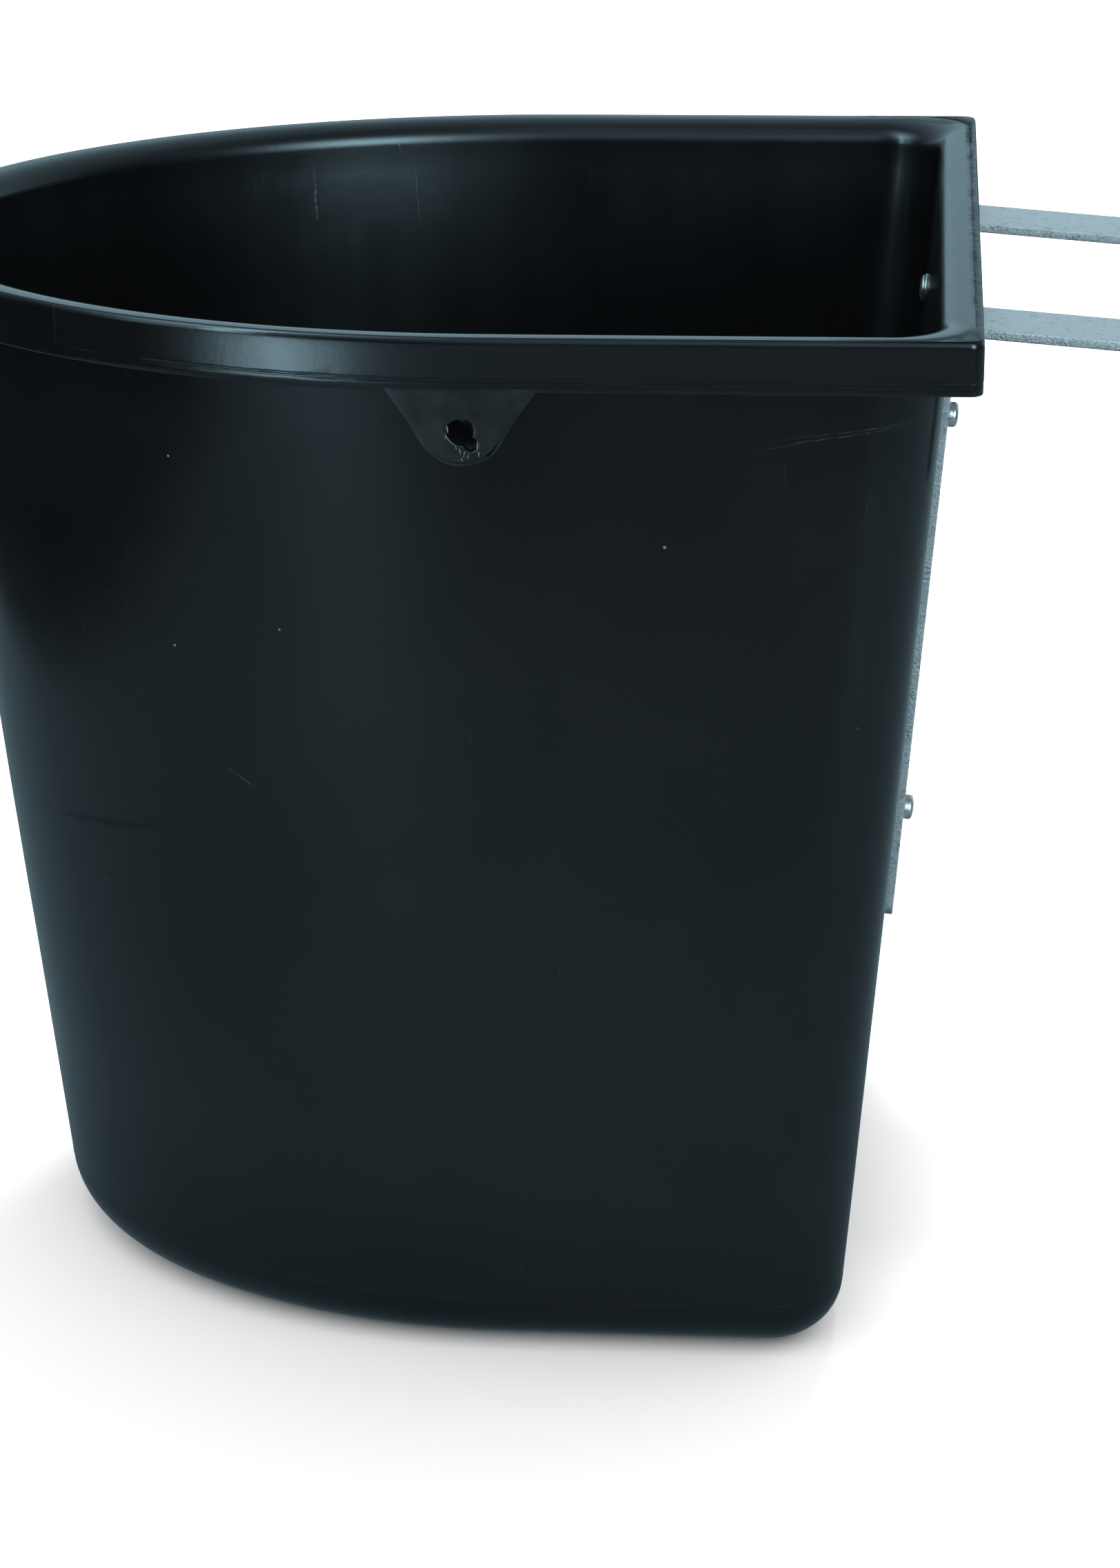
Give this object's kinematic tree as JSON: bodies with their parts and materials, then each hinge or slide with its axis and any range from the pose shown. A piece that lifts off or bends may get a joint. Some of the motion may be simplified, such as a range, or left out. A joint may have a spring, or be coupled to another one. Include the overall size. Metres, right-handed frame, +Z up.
{
  "type": "feed bucket",
  "caption": "D-shaped hanging feed bucket: a tapered flat-backed plastic tub with a turned-down rim and side ears, and flat steel straps riveted to its back that hook over a rail.",
  "frame": {"origin": "on the floor, at the centre of the ellipse that the round front follows", "axes": "+X towards the flat back and the hooks, +Y towards the right-hand strap as seen from the hooks' side looking at the bucket, +Z up"},
  "size_m": [0.403, 0.33, 0.335],
  "materials": {
    "bucket_plastic": "satin black moulded polyethylene with fine scratches",
    "strap_zinc": "dull zinc plate, worn bright along the edges",
    "rivet_metal": "bright",
    "washer_steel": "plated"
  },
  "bodies": {
    "root": {"bucket_shell": "bucket_plastic", "hanger_strap_left": "strap_zinc", "hanger_strap_right": "strap_zinc", "rivet_upper_left": "rivet_metal", "rivet_upper_right": "rivet_metal", "rivet_lower_left": "rivet_metal", "rivet_lower_right": "rivet_metal", "washer_upper_left": "washer_steel", "washer_upper_right": "washer_steel", "washer_lower_left": "washer_steel", "washer_lower_right": "washer_steel"}
  },
  "joints": []
}
